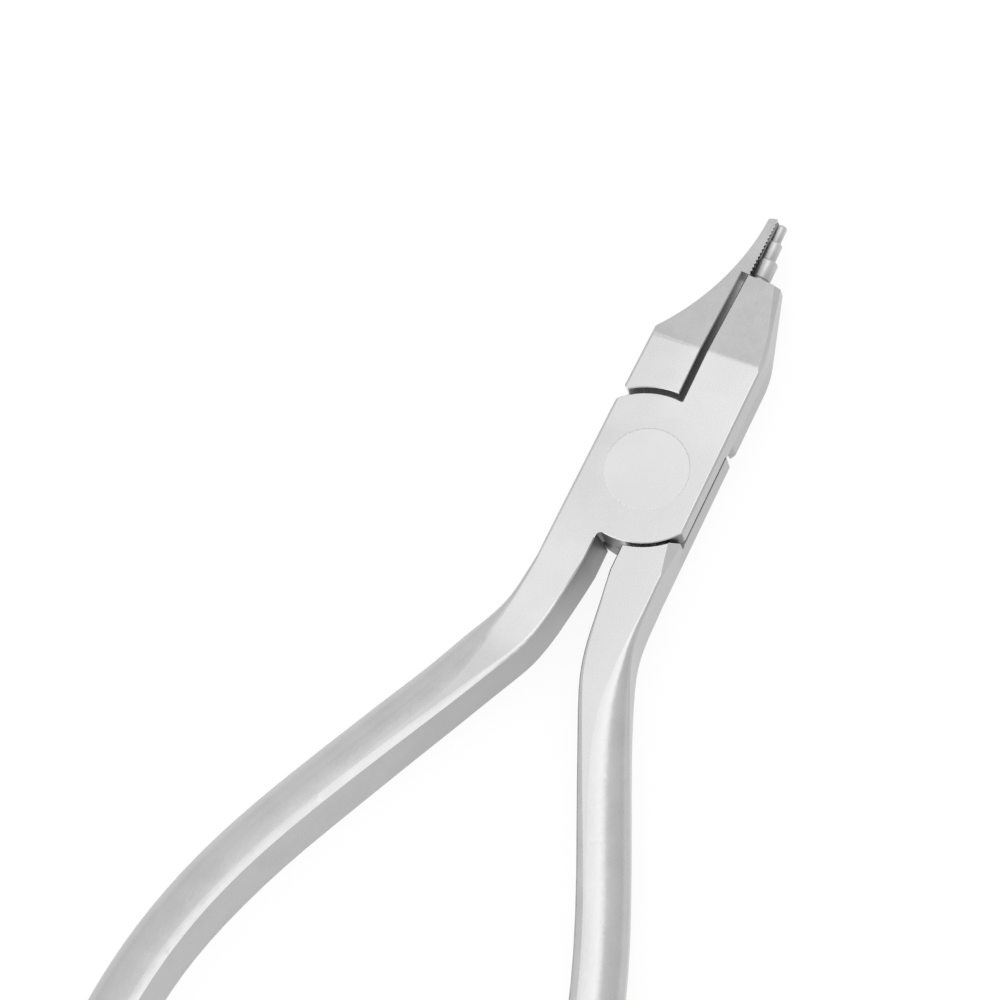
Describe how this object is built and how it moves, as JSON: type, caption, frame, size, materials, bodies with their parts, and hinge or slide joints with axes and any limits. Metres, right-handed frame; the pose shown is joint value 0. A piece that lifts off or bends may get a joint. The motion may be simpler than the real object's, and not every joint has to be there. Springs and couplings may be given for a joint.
{
  "type": "orthodontic pliers",
  "caption": "Loop-forming orthodontic pliers: lap-jointed steel halves on a flush round pivot, stepped round beak closing on a serrated pad, bowed handles.",
  "frame": {"origin": "on the pivot axis, in the flat rear face that the pliers lie on", "axes": "+Y along the closed jaws towards their tips, +X towards the stepped beak's side, +Z along the pivot axis towards the front lap plate"},
  "size_m": [0.0532, 0.1293, 0.0058],
  "materials": {
    "satin_steel": "fine satin, bead-blasted stainless steel",
    "pivot_steel": "fine satin, faced flush",
    "beak_steel": "turned and ground, semi-bright",
    "pad_steel": "satin, with a dull ground toothed face"
  },
  "bodies": {
    "mandrel_side": {"mandrel_half": "satin_steel", "stepped_mandrel": "beak_steel", "pivot_barrel": "pivot_steel", "pivot_screw": "pivot_steel"},
    "pad_side": {"pad_half": "satin_steel", "serrated_pad": "pad_steel"}
  },
  "joints": [
    {"name": "jaw_hinge", "type": "hinge", "parent": "mandrel_side", "child": "pad_side", "pos_m": [0, 0, 0.0029], "axis": [0, 0, 1], "range_deg": [0, 25]}
  ]
}
